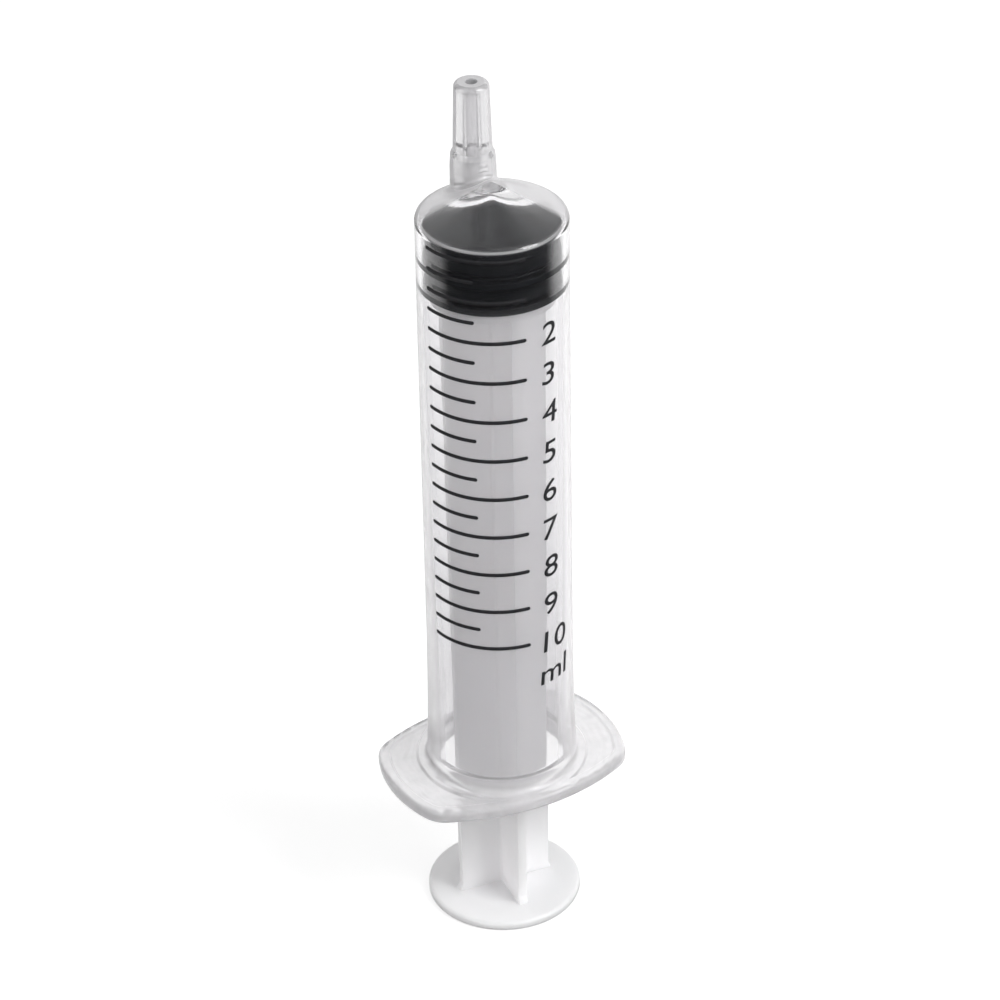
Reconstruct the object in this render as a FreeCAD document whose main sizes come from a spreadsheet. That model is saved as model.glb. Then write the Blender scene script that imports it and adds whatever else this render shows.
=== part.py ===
"""Ten millilitre slip tip syringe with the tip off centre, empty and standing on its thumb rest.

Lengths are millimetres. The origin is on the axis at the underside of the thumb rest, +Z runs up
to the tip, +X along the long way of the finger flange, and the tip stands off towards +Y.
"""

import FreeCAD, Part
import os
from math import atan2

import Sketcher
from FreeCAD import Placement, Rotation, Vector

SIZES = {
    # Tube of the barrel
    "bore_radius": 7.9,
    "barrel_wall": 0.7,
    "barrel_length": 74.7,
    "foot_swell": 0.3,
    "foot_length": 12.0,
    "mouth_chamfer": 0.3,
    "bead_level": 3.0,
    "bead_rise": 0.22,
    "bead_half_height": 0.6,
    # Closed end of the barrel
    "cone_rise": 4.2,
    "inner_cone_rise": 2.8,
    "end_wall": 0.9,
    "shoulder_round": 0.9,
    # Finger flange
    "flange_thickness": 1.8,
    "wing_reach": 5.7,
    "side_ledge": 1.9,
    "end_bow": 17.0,
    "side_bow": 27.0,
    "flange_corner": 3.6,
    "flange_edge_round": 0.7,
    "root_round": 0.8,
    "lip_width": 1.2,
    "recess_depth": 0.3,
    "recess_margin": 0.3,
    # Slip tip
    "tip_offset": 4.4,
    "tip_reach": 14.4,
    "tip_radius": 1.97,
    "tip_taper": 0.06,
    "taper_length": 8.1,
    "step_length": 0.6,
    "collar_radius": 2.5,
    "collar_foot_radius": 2.62,
    "tip_round": 0.55,
    "tip_foot_round": 0.8,
    "lumen_radius": 0.6,
    "lumen_root_radius": 0.75,
    # Thumb rest of the rod
    "rest_radius": 9.24,
    "rest_thickness": 1.2,
    "rest_round": 0.45,
    "grip_groove_width": 0.6,
    "grip_groove_depth": 0.25,
    "grip_groove_pitch": 2.1,
    # Shaft of the rod
    "shaft_length": 83.55,
    "vane_thickness": 1.1,
    "vane_gap_low": 2.25,
    "vane_gap_high": 1.6,
    "vane_flare": 0.35,
    "vane_flare_height": 0.9,
    "vane_root_round": 0.4,
    "vane_turn": 86.2,
    "disc_gap": 0.7,
    "disc_thickness": 1.0,
    # Head of the rod, inside the stopper
    "neck_radius": 2.3,
    "head_radius": 3.6,
    "head_top_radius": 2.4,
    "head_band": 0.8,
    "head_length": 3.4,
    "head_gap": 0.08,
    # Rubber stopper
    "seat_gap": 0.05,
    "seal_gap": 0.04,
    "waist_gap": 0.8,
    "ring_half_height": 0.6,
    "lower_ring_level": 0.65,
    "upper_ring_level": 3.95,
    "crown_gap": 0.4,
    "crown_level": 7.0,
    "crown_round": 0.3,
    "crown_rise": 2.5,
    "stopper_lip": 1.8,
    "end_gap": 1.186,
    # Printed scale
    "scale_unit_volume": 1000.0,
    "scale_lead": 0.3,
    "scale_start": 186.0,
    "long_mark_sweep": 82.0,
    "short_mark_sweep": 43.0,
    "mark_height": 0.45,
    "ink_thickness": 0.05,
    "ink_gap": 0.02,
}

SCALE_UNITS = 10
GRIP_GROOVES = 3

# Lengths below this count as none
SAME_PLACE = 1e-4
# Largest share of a thickness that one rounded edge takes, and of the ledge that the root takes
EDGE_SHARE = 0.4
ROOT_SHARE = 0.6

# Sizes that follow from the driving ones
OUTER_RADIUS = "(Sizes.bore_radius + Sizes.barrel_wall)"
FOOT_RADIUS = f"({OUTER_RADIUS} + Sizes.foot_swell)"
RING_RADIUS = "(Sizes.bore_radius - Sizes.seal_gap)"
WAIST_RADIUS = "(Sizes.bore_radius - Sizes.waist_gap)"
CROWN_RADIUS = "(Sizes.bore_radius - Sizes.crown_gap)"
DISC_RADIUS = "(Sizes.bore_radius - Sizes.disc_gap)"
SUPPORT_LEVEL = "(Sizes.rest_thickness + Sizes.shaft_length)"
STOPPER_LEVEL = f"({SUPPORT_LEVEL} + Sizes.seat_gap)"
CROWN_HEIGHT = f"({STOPPER_LEVEL} + Sizes.crown_level)"
CONE_OVER_BORE = f"(Sizes.cone_rise * (1 - Sizes.bore_radius / {OUTER_RADIUS}))"
INSIDE_OVER_CROWN = f"(Sizes.inner_cone_rise * (1 - {CROWN_RADIUS} / Sizes.bore_radius))"
BORE_END_HEIGHT = f"({CROWN_HEIGHT} + Sizes.end_gap - {INSIDE_OVER_CROWN})"
SHOULDER_HEIGHT = f"({BORE_END_HEIGHT} + Sizes.end_wall - {CONE_OVER_BORE})"
OPEN_END_HEIGHT = f"({SHOULDER_HEIGHT} - Sizes.barrel_length)"
UNIT_PITCH = "(Sizes.scale_unit_volume / (pi * Sizes.bore_radius ^ 2))"
ROOT_ROUND = f"min(Sizes.root_round; {ROOT_SHARE} * Sizes.side_ledge)"
SIDE_CENTRE = f"(Sizes.side_bow - {FOOT_RADIUS} - Sizes.side_ledge)"
END_CENTRE = f"({FOOT_RADIUS} + Sizes.wing_reach - Sizes.end_bow)"

doc = FreeCAD.newDocument("Syringe")
sheet = doc.addObject("Spreadsheet::Sheet", "Sizes")
for row, (alias, value) in enumerate(SIZES.items(), start=1):
    sheet.set(f"A{row}", str(value))
    sheet.setAlias(f"A{row}", alias)
doc.recompute()


def worked_out(expression):
    """Present value of an expression on the sizes."""
    return float(sheet.evalExpression(expression))


def add_body(name):
    """Empty body for one moulded piece, labelled with the name of its file."""
    body = doc.addObject("PartDesign::Body", name)
    body.Label = name
    return body


def add_sketch(body, name, plane):
    """Empty sketch on one of the body's own origin planes."""
    sketch = body.newObject("Sketcher::SketchObject", name)
    support = next(item for item in body.Origin.OriginFeatures if item.Role == plane)
    sketch.AttachmentSupport = [(support, "")]
    sketch.MapMode = "FlatFace"
    return sketch


def bind(sketch, kind, place, expression):
    """Dimension of the sketch that follows an expression; a zero place is a point on an axis."""
    if expression == "0":
        axis = -2 if kind == "DistanceX" else -1
        sketch.addConstraint(Sketcher.Constraint("PointOnObject", *place, axis))
        return
    index = sketch.addConstraint(Sketcher.Constraint(kind, *place, worked_out(expression)))
    sketch.setExpression(f"Constraints[{index}]", expression)


def draw_outline(sketch, corners):
    """Closed outline through the corners, each a pair of expressions.

    A corner with a third and a fourth entry starts an upright stretch that bows out sideways:
    the third is the bow's rise, towards +x where it is positive, and the fourth half its height.
    """
    places = [Vector(worked_out(corner[0]), worked_out(corner[1]), 0) for corner in corners]
    ends = []
    for index, corner in enumerate(corners):
        start = places[index]
        end = places[(index + 1) % len(corners)]
        if len(corner) == 2:
            sketch.addGeometry(Part.LineSegment(start, end))
            ends.append((1, 2))
            continue
        rise = worked_out(corner[2])
        middle = (start + end) / 2 + Vector(rise, 0, 0)
        sketch.addGeometry(Part.Arc(start, middle, end))
        ends.append((1, 2) if rise > 0 else (2, 1))
    for index, corner in enumerate(corners):
        after = (index + 1) % len(corners)
        joint = Sketcher.Constraint("Coincident", index, ends[index][1], after, ends[after][0])
        sketch.addConstraint(joint)
    for index, corner in enumerate(corners):
        bind(sketch, "DistanceX", (index, ends[index][0]), corner[0])
        bind(sketch, "DistanceY", (index, ends[index][0]), corner[1])
        if len(corner) == 4:
            bow_radius = f"(({corner[2]}) ^ 2 + ({corner[3]}) ^ 2) / (2 * abs({corner[2]}))"
            bind(sketch, "Radius", (index,), bow_radius)


def turn(body, name, sketch, kind="PartDesign::Revolution"):
    """Full turn of a sketch about its own upright axis, added or, as a groove, taken away."""
    feature = body.newObject(kind, name)
    feature.Profile = sketch
    feature.ReferenceAxis = (sketch, ["V_Axis"])
    feature.Angle = 360
    doc.recompute()
    return feature


def round_edges(body, name, chosen, radius):
    """Fillet on the edges of the body that a test picks, with a radius that is an expression."""
    base = body.Tip
    names = [f"Edge{n}" for n, edge in enumerate(base.Shape.Edges, start=1) if chosen(edge)]
    fillet = body.newObject("PartDesign::Fillet", name)
    fillet.Base = (base, names)
    fillet.setExpression("Radius", radius)
    doc.recompute()
    return fillet


def is_circle(edge, radius, level):
    """Whether an edge is a circle of that radius about the body's axis at that height, or part of one."""
    if not isinstance(edge.Curve, Part.Circle):
        return False
    centre = edge.Curve.Center
    off_axis = Vector(centre.x, centre.y, 0).Length
    return max(off_axis, abs(edge.Curve.Radius - radius), abs(centre.z - level)) < SAME_PLACE


def corner_centre():
    """Centre of the flange's rounded corner on the +X and -y side.

    The corner touches the side bow and the end bow from inside, so its centre is one crossing of
    two circles about those bows' centres, each smaller than its bow by the corner's radius.
    """
    side_centre = Vector(0, worked_out(SIDE_CENTRE), 0)
    end_centre = Vector(worked_out(END_CENTRE), 0, 0)
    side_gap = SIZES["side_bow"] - SIZES["flange_corner"]
    end_gap = SIZES["end_bow"] - SIZES["flange_corner"]
    between = end_centre - side_centre
    along = (side_gap ** 2 - end_gap ** 2 + between.Length ** 2) / (2 * between.Length)
    across = (side_gap ** 2 - along ** 2) ** 0.5
    towards = Vector(between.x, between.y, 0).normalize()
    sideways = Vector(-towards.y, towards.x, 0)
    return side_centre + towards * along + sideways * across


def draw_wing_arcs(sketch, inset, start):
    """Five touching arcs round the +X end of the flange, moved in by the inset, from -y to +y.

    They are side bow, corner, end bow, corner and side bow. The chain starts on the low side bow
    at the given point, ends at the same point mirrored, and returns the arcs' numbers.
    """
    centre = corner_centre()
    side_height = worked_out(SIDE_CENTRE)
    end_x = worked_out(END_CENTRE)
    side_radius = f"Sizes.side_bow - ({inset})"
    end_radius = f"Sizes.end_bow - ({inset})"
    corner_radius = f"Sizes.flange_corner - ({inset})"
    start_turn = atan2(start.y - side_height, start.x)
    side_turn = atan2(centre.y - side_height, centre.x)
    end_turn = atan2(centre.y, centre.x - end_x)
    chain = [
        ((0, side_height), side_radius, start_turn, side_turn),
        ((centre.x, centre.y), corner_radius, side_turn, end_turn),
        ((end_x, 0), end_radius, end_turn, -end_turn),
        ((centre.x, -centre.y), corner_radius, -end_turn, -side_turn),
        ((0, -side_height), side_radius, -side_turn, -start_turn),
    ]
    numbers = []
    for (x, y), radius, first_turn, last_turn in chain:
        circle = Part.Circle(Vector(x, y, 0), Vector(0, 0, 1), worked_out(radius))
        numbers.append(sketch.addGeometry(Part.ArcOfCircle(circle, first_turn, last_turn)))
    for first, second in zip(numbers, numbers[1:]):
        sketch.addConstraint(Sketcher.Constraint("Tangent", first, 2, second, 1))
    low_side, low_corner, end, high_corner, high_side = numbers
    for side, height in ((low_side, SIDE_CENTRE), (high_side, f"-{SIDE_CENTRE}")):
        sketch.addConstraint(Sketcher.Constraint("PointOnObject", side, 3, -2))
        bind(sketch, "DistanceY", (side, 3), height)
        bind(sketch, "Radius", (side,), side_radius)
    sketch.addConstraint(Sketcher.Constraint("PointOnObject", end, 3, -1))
    bind(sketch, "DistanceX", (end, 3), END_CENTRE)
    bind(sketch, "Radius", (end,), end_radius)
    bind(sketch, "Radius", (low_corner,), corner_radius)
    bind(sketch, "Radius", (high_corner,), corner_radius)
    return numbers


def make_barrel():
    """Clear barrel in one moulding: tube, finger flange, end cone, slip tip and its lumen."""
    body = add_body("barrel")
    body.setExpression("Placement.Base.z", OPEN_END_HEIGHT)

    # Tube and end cone as a full solid, thicker towards the flange
    wall = add_sketch(body, "WallProfile", "XZ_Plane")
    draw_outline(wall, [
        ("0", "0"),
        (FOOT_RADIUS, "0"),
        (FOOT_RADIUS, "Sizes.flange_thickness"),
        (OUTER_RADIUS, "Sizes.flange_thickness + Sizes.foot_length"),
        (OUTER_RADIUS, "Sizes.barrel_length"),
        ("0", "Sizes.barrel_length + Sizes.cone_rise"),
    ])
    turn(body, "Wall", wall)

    # Finger flange: bowed sides and ends with rounded corners, half drawn and then mirrored
    wing = add_sketch(body, "WingOutline", "XY_Plane")
    side_reach = worked_out(f"{FOOT_RADIUS} + Sizes.side_ledge")
    numbers = draw_wing_arcs(wing, "0", Vector(0, -side_reach, 0))
    closing = wing.addGeometry(Part.LineSegment(Vector(0, 1, 0), Vector(0, -1, 0)))
    wing.addConstraint(Sketcher.Constraint("Coincident", numbers[-1], 2, closing, 1))
    wing.addConstraint(Sketcher.Constraint("Coincident", closing, 2, numbers[0], 1))
    wing.addConstraint(Sketcher.Constraint("PointOnObject", closing, 1, -2))
    wing.addConstraint(Sketcher.Constraint("PointOnObject", closing, 2, -2))
    plate = body.newObject("PartDesign::Pad", "Wing")
    plate.Profile = wing
    plate.setExpression("Length", "Sizes.flange_thickness")
    doc.recompute()
    mirror_feature(body, "BothWings", plate)

    # Soft edges of the flange, of its root and of the shoulder
    foot_radius = worked_out(FOOT_RADIUS)

    def on_flange_outline(edge):
        if edge.Degenerated:
            return False
        points = edge.discretize(5)
        nearest = min(Vector(point.x, point.y, 0).Length for point in points)
        return nearest > foot_radius + SAME_PLACE and edge.BoundBox.ZLength < SAME_PLACE

    round_edges(body, "FlangeEdges", on_flange_outline,
                f"min(Sizes.flange_edge_round; {EDGE_SHARE} * Sizes.flange_thickness)")
    round_edges(body, "FlangeRoot",
                lambda edge: is_circle(edge, foot_radius, worked_out("Sizes.flange_thickness")),
                ROOT_ROUND)
    round_edges(body, "Shoulder",
                lambda edge: is_circle(edge, worked_out(OUTER_RADIUS),
                                       worked_out("Sizes.barrel_length")),
                "Sizes.shoulder_round")

    # Slip tip beside the axis: taper, small step and collar down to the cone
    tip_height = "(Sizes.barrel_length + Sizes.tip_reach)"
    taper_foot = f"({tip_height} - Sizes.taper_length)"
    collar_top = f"({taper_foot} - Sizes.step_length)"
    taper_foot_radius = "(Sizes.tip_radius + Sizes.tip_taper * Sizes.taper_length / 2)"
    tip = add_sketch(body, "TipProfile", "YZ_Plane")
    tip.setExpression("AttachmentOffset.Base.x", "Sizes.tip_offset")
    draw_outline(tip, [
        ("0", "Sizes.barrel_length"),
        ("Sizes.collar_foot_radius", "Sizes.barrel_length"),
        ("Sizes.collar_radius", collar_top),
        (taper_foot_radius, taper_foot),
        ("Sizes.tip_radius", tip_height),
        ("0", tip_height),
    ])
    turn(body, "Tip", tip)
    round_edges(body, "TipFoot", is_tip_foot, "Sizes.tip_foot_round")
    top = worked_out(tip_height)
    round_edges(body, "TipEdge",
                lambda edge: isinstance(edge.Curve, Part.Circle)
                and abs(edge.Curve.Center.z - top) < SAME_PLACE,
                f"min(Sizes.tip_round; {EDGE_SHARE} * Sizes.tip_radius)")

    # Bore with its lead-in, retaining bead and an end cone about as flat as the stopper's
    bead_low = "(Sizes.bead_level - Sizes.bead_half_height)"
    bead_high = "(Sizes.bead_level + Sizes.bead_half_height)"
    bore_end = f"(Sizes.barrel_length + {CONE_OVER_BORE} - Sizes.end_wall)"
    bore = add_sketch(body, "BoreProfile", "XZ_Plane")
    draw_outline(bore, [
        ("0", "0"),
        ("Sizes.bore_radius + Sizes.mouth_chamfer", "0"),
        ("Sizes.bore_radius", "2 * Sizes.mouth_chamfer"),
        ("Sizes.bore_radius", bead_low, "-Sizes.bead_rise", "Sizes.bead_half_height"),
        ("Sizes.bore_radius", bead_high),
        ("Sizes.bore_radius", bore_end),
        ("0", f"{bore_end} + Sizes.inner_cone_rise"),
    ])
    turn(body, "Bore", bore, "PartDesign::Groove")

    # Lumen through the tip, a little wider at its root
    lumen = add_sketch(body, "LumenProfile", "YZ_Plane")
    lumen.setExpression("AttachmentOffset.Base.x", "Sizes.tip_offset")
    draw_outline(lumen, [
        ("0", "Sizes.barrel_length"),
        ("Sizes.lumen_root_radius", "Sizes.barrel_length"),
        ("Sizes.lumen_radius", tip_height),
        ("0", tip_height),
    ])
    turn(body, "Lumen", lumen, "PartDesign::Groove")

    # Shallow finger recess on each wing, inside the raised lip
    recess_radius = f"({FOOT_RADIUS} + {ROOT_ROUND} + Sizes.recess_margin)"
    inner_radius = worked_out(recess_radius)
    side_height = worked_out(SIDE_CENTRE)
    bow_radius = worked_out("Sizes.side_bow - Sizes.lip_width")
    start_y = (side_height ** 2 + inner_radius ** 2 - bow_radius ** 2) / (2 * side_height)
    start = Vector((inner_radius ** 2 - start_y ** 2) ** 0.5, start_y, 0)
    recess = add_sketch(body, "RecessOutline", "XY_Plane")
    recess.setExpression("AttachmentOffset.Base.z", "Sizes.flange_thickness")
    numbers = draw_wing_arcs(recess, "Sizes.lip_width", start)
    half_turn = atan2(-start.y, start.x)
    inner_circle = Part.Circle(Vector(0, 0, 0), Vector(0, 0, 1), inner_radius)
    inner = recess.addGeometry(Part.ArcOfCircle(inner_circle, -half_turn, half_turn))
    recess.addConstraint(Sketcher.Constraint("Coincident", inner, 3, -1, 1))
    recess.addConstraint(Sketcher.Constraint("Coincident", numbers[0], 1, inner, 1))
    recess.addConstraint(Sketcher.Constraint("Coincident", numbers[-1], 2, inner, 2))
    bind(recess, "Radius", (inner,), recess_radius)
    pocket = body.newObject("PartDesign::Pocket", "Recess")
    pocket.Profile = recess
    pocket.setExpression("Length", "Sizes.recess_depth")
    doc.recompute()
    mirror_feature(body, "BothRecesses", pocket)
    return body


def mirror_feature(body, name, feature):
    """The same feature on the other side of the body's YZ plane."""
    mirrored = body.newObject("PartDesign::Mirrored", name)
    mirrored.Originals = [feature]
    side = next(item for item in body.Origin.OriginFeatures if item.Role == "YZ_Plane")
    mirrored.MirrorPlane = (side, [""])
    body.Tip = mirrored
    doc.recompute()
    return mirrored


def is_tip_foot(edge):
    """Whether an edge is the closed curve where the tip's collar meets the end cone."""
    centre = edge.BoundBox.Center
    near_tip = abs(centre.y - worked_out("Sizes.tip_offset")) < worked_out("Sizes.collar_radius")
    above_shoulder = edge.BoundBox.ZMin > worked_out("Sizes.barrel_length")
    slanted = edge.BoundBox.ZLength > SAME_PLACE
    return near_tip and above_shoulder and slanted and edge.isClosed()


def make_rod():
    """White plunger rod in one moulding: thumb rest, four vanes, support disc, neck and head."""
    body = add_body("plunger_rod")
    body.Placement = Placement(Vector(0, 0, 0), Rotation(Vector(0, 0, 1), SIZES["vane_turn"]))
    body.setExpression("Placement.Rotation.Angle", "Sizes.vane_turn")

    # Thumb rest with rounded rim
    rest = add_sketch(body, "RestProfile", "XZ_Plane")
    draw_outline(rest, [
        ("0", "0"),
        ("Sizes.rest_radius", "0"),
        ("Sizes.rest_radius", "Sizes.rest_thickness"),
        ("0", "Sizes.rest_thickness"),
    ])
    turn(body, "Rest", rest)
    rest_radius = worked_out("Sizes.rest_radius")
    round_edges(body, "RestEdges",
                lambda edge: isinstance(edge.Curve, Part.Circle)
                and abs(edge.Curve.Radius - rest_radius) < SAME_PLACE,
                f"min(Sizes.rest_round; {EDGE_SHARE} * Sizes.rest_thickness)")

    # Two crossed plates make the four vanes, flared where they meet the thumb rest
    low_span = "(Sizes.bore_radius - Sizes.vane_gap_low)"
    high_span = "(Sizes.bore_radius - Sizes.vane_gap_high)"
    flare_span = f"({low_span} + Sizes.vane_flare)"
    flare_top = "(Sizes.rest_thickness + Sizes.vane_flare_height)"
    bottom = "(Sizes.rest_thickness / 2)"
    top = f"({SUPPORT_LEVEL} - Sizes.disc_thickness / 2)"
    for name, plane in (("PlateAcross", "XZ_Plane"), ("PlateAlong", "YZ_Plane")):
        outline = add_sketch(body, f"{name}Outline", plane)
        draw_outline(outline, [
            (f"-{flare_span}", bottom),
            (flare_span, bottom),
            (flare_span, "Sizes.rest_thickness"),
            (low_span, flare_top),
            (high_span, top),
            (f"-{high_span}", top),
            (f"-{low_span}", flare_top),
            (f"-{flare_span}", "Sizes.rest_thickness"),
        ])
        plate = body.newObject("PartDesign::Pad", name)
        plate.Profile = outline
        plate.SideType = "Symmetric"
        plate.setExpression("Length", "Sizes.vane_thickness")
        doc.recompute()

    # Support disc, neck and the head that holds the stopper
    neck_length = "(Sizes.seat_gap + Sizes.stopper_lip + Sizes.head_gap)"
    head_foot = f"({SUPPORT_LEVEL} + {neck_length})"
    head = add_sketch(body, "HeadProfile", "XZ_Plane")
    draw_outline(head, [
        ("0", f"{SUPPORT_LEVEL} - Sizes.disc_thickness"),
        (DISC_RADIUS, f"{SUPPORT_LEVEL} - Sizes.disc_thickness"),
        (DISC_RADIUS, SUPPORT_LEVEL),
        ("Sizes.neck_radius", SUPPORT_LEVEL),
        ("Sizes.neck_radius", head_foot),
        ("Sizes.head_radius", head_foot),
        ("Sizes.head_radius", f"{head_foot} + Sizes.head_band"),
        ("Sizes.head_top_radius", f"{head_foot} + Sizes.head_length"),
        ("0", f"{head_foot} + Sizes.head_length"),
    ])
    turn(body, "Head", head)

    # Rounded corners along the crossing of the vanes
    half_thickness = worked_out("Sizes.vane_thickness / 2")

    def in_vane_corner(edge):
        if not isinstance(edge.Curve, Part.Line) or edge.BoundBox.ZLength < SAME_PLACE:
            return False
        return all(abs(abs(place) - half_thickness) < SAME_PLACE
                   for point in edge.Vertexes for place in (point.X, point.Y))

    round_edges(body, "VaneRoots", in_vane_corner, "Sizes.vane_root_round")

    # Grip grooves round the middle of the pushing face
    for number in range(1, GRIP_GROOVES + 1):
        middle = f"({number} * Sizes.grip_groove_pitch)"
        groove = add_sketch(body, f"GripProfile{number}", "XZ_Plane")
        draw_outline(groove, [
            (f"{middle} - Sizes.grip_groove_width / 2", "0"),
            (f"{middle} + Sizes.grip_groove_width / 2", "0"),
            (middle, "Sizes.grip_groove_depth"),
        ])
        turn(body, f"Grip{number}", groove, "PartDesign::Groove")
    return body


def make_stopper():
    """Rubber stopper: low cone on top, two seal rings and a hollow that grips the rod's head."""
    body = add_body("rubber_stopper")
    body.setExpression("Placement.Base.z", STOPPER_LEVEL)
    ring_rise = f"({RING_RADIUS} - {WAIST_RADIUS})"

    shape = add_sketch(body, "StopperProfile", "XZ_Plane")
    outline = [("0", "0"), (WAIST_RADIUS, "0")]
    for level in ("Sizes.lower_ring_level", "Sizes.upper_ring_level"):
        low = f"{level} - Sizes.ring_half_height"
        high = f"{level} + Sizes.ring_half_height"
        outline.append((WAIST_RADIUS, low, ring_rise, "Sizes.ring_half_height"))
        outline.append((WAIST_RADIUS, high))
    outline.append((CROWN_RADIUS, "Sizes.upper_ring_level + 2 * Sizes.ring_half_height"))
    outline.append((CROWN_RADIUS, "Sizes.crown_level"))
    outline.append(("0", "Sizes.crown_level + Sizes.crown_rise"))
    draw_outline(shape, outline)
    turn(body, "Stopper", shape)
    crown_radius = worked_out(CROWN_RADIUS)
    crown_level = worked_out("Sizes.crown_level")
    round_edges(body, "CrownEdge", lambda edge: is_circle(edge, crown_radius, crown_level),
                "Sizes.crown_round")

    mouth_radius = "(Sizes.neck_radius + Sizes.head_gap)"
    hollow_radius = "(Sizes.head_radius + Sizes.head_gap)"
    hollow_top = "(Sizes.stopper_lip + 2 * Sizes.head_gap + Sizes.head_length)"
    hollow = add_sketch(body, "HollowProfile", "XZ_Plane")
    draw_outline(hollow, [
        ("0", "0"),
        (mouth_radius, "0"),
        (mouth_radius, "Sizes.stopper_lip"),
        (hollow_radius, "Sizes.stopper_lip"),
        (hollow_radius, "Sizes.stopper_lip + 2 * Sizes.head_gap + Sizes.head_band"),
        ("Sizes.head_top_radius + Sizes.head_gap", hollow_top),
        ("0", hollow_top),
    ])
    turn(body, "Hollow", hollow, "PartDesign::Groove")
    return body


def make_scale():
    """Printed scale: a long mark at each millilitre and a short one half way between."""
    zero_height = f"({CROWN_HEIGHT} + Sizes.scale_lead)"
    ink_inner = f"({OUTER_RADIUS} + Sizes.ink_gap)"
    marks = []
    for number in range(2 * SCALE_UNITS + 1):
        sweep = "Sizes.long_mark_sweep" if number % 2 == 0 else "Sizes.short_mark_sweep"
        foot = f"{zero_height} - {number} * {UNIT_PITCH} / 2 - Sizes.mark_height / 2"
        rounds = []
        for name, radius in (("Outside", f"{ink_inner} + Sizes.ink_thickness"), ("Inside", ink_inner)):
            cylinder = doc.addObject("Part::Cylinder", f"Mark{name}{number}")
            cylinder.Placement = Placement(Vector(0, 0, 0), Rotation(Vector(0, 0, 1), 90))
            cylinder.setExpression("Radius", radius)
            cylinder.setExpression("Height", "Sizes.mark_height")
            cylinder.setExpression("Angle", sweep)
            cylinder.setExpression("Placement.Base.z", foot)
            cylinder.setExpression("Placement.Rotation.Angle", "Sizes.scale_start")
            rounds.append(cylinder)
        mark = doc.addObject("Part::Cut", f"Mark{number}")
        mark.Base, mark.Tool = rounds
        marks.append(mark)
    scale = doc.addObject("Part::Compound", "scale_lines")
    scale.Label = "scale_lines"
    scale.Links = marks
    return scale


pieces = [make_barrel(), make_rod(), make_stopper(), make_scale()]
doc.recompute()

for item in doc.Objects:
    if "Invalid" in item.State or "Error" in item.State:
        raise RuntimeError(f"{item.Name} did not build: {item.State}")
for piece in pieces:
    if piece.Shape.isNull() or not piece.Shape.isValid():
        raise RuntimeError(f"{piece.Label} has no valid shape")

os.makedirs("parts", exist_ok=True)
for piece in pieces:
    piece.Shape.exportStep(f"parts/{piece.Label}.step")
    box = piece.Shape.BoundBox
    print(piece.Label, len(piece.Shape.Solids), "solids,", round(piece.Shape.Volume, 3), "mm3,",
          [round(v, 3) for v in (box.XMin, box.YMin, box.ZMin, box.XMax, box.YMax, box.ZMax)])
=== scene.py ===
"""Looks of the ten millilitre slip tip syringe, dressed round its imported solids.

Lengths in this file are millimetres, and every mesh is made in metres. The origin is on the axis
at the underside of the thumb rest, +Z runs up to the tip, and the tip stands off towards +Y.
"""

from math import atan2, cos, hypot, pi, radians, sin

import bmesh
import bpy
import numpy as np
from mathutils import Matrix


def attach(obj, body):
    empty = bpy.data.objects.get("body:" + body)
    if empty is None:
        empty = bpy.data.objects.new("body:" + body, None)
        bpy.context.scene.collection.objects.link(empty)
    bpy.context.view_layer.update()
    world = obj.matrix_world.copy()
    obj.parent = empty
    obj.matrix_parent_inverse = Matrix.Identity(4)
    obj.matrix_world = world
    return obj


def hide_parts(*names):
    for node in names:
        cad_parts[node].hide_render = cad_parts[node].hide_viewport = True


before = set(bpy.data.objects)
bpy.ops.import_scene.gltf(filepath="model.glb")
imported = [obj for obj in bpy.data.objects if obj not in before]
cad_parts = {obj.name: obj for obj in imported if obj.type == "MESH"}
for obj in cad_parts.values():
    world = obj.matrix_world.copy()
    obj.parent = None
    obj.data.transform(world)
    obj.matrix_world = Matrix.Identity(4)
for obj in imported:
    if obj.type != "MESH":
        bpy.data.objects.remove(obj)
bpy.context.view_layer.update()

MM = 0.001

# Barrel, as the solid has it
OPEN_END = 18.702
SHOULDER = 93.402
OUTER_RADIUS = 8.6
FOOT_RADIUS = 8.9
FOOT_LENGTH = 12.0
FOOT_ROUND = 500.0
BORE_RADIUS = 7.9
CONE_RISE = 4.2
END_INSIDE = 92.844
INNER_RISE = 2.8
BORE_CORNER_ROUND = 0.25
SHOULDER_ROUND = 0.9
APEX_ROUND = 0.3
MOUTH_CHAMFER = 0.3
BEAD_LEVEL = 3.0
BEAD_HALF_HEIGHT = 0.6
BEAD_RISE = 0.22

# Finger flange
FLANGE_THICKNESS = 1.8
WING_REACH = 14.6
SIDE_REACH = 10.8
END_BOW = 17.0
SIDE_BOW = 27.0
FLANGE_CORNER = 3.6
FLANGE_EDGE_ROUND = 0.7
ROOT_ROUND = 0.8
LIP_WIDTH = 1.2
RECESS_RADIUS = 10.0
RECESS_DEPTH = 0.3
RECESS_SLOPE = 0.25

# Slip tip
TIP_OFFSET = 4.4
TIP_TOP = 107.802
TIP_RADIUS = 1.97
TIP_ROUND = 0.55
TAPER_FOOT = 99.702
TAPER_FOOT_RADIUS = 2.213
COLLAR_TOP = 99.102
COLLAR_RADIUS = 2.5
COLLAR_FOOT_RADIUS = 2.62
TIP_FOOT_ROUND = 0.8
LUMEN_RADIUS = 0.6
LUMEN_ROOT_RADIUS = 0.75
LUMEN_ROOT_ROUND = 0.1
TIP_HOLE_ROUND = 0.12
TAPER_FOOT_ROUND = 0.15
COLLAR_ROUND = 0.2
COLLAR_LINE_END = SHOULDER + 4.4

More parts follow.
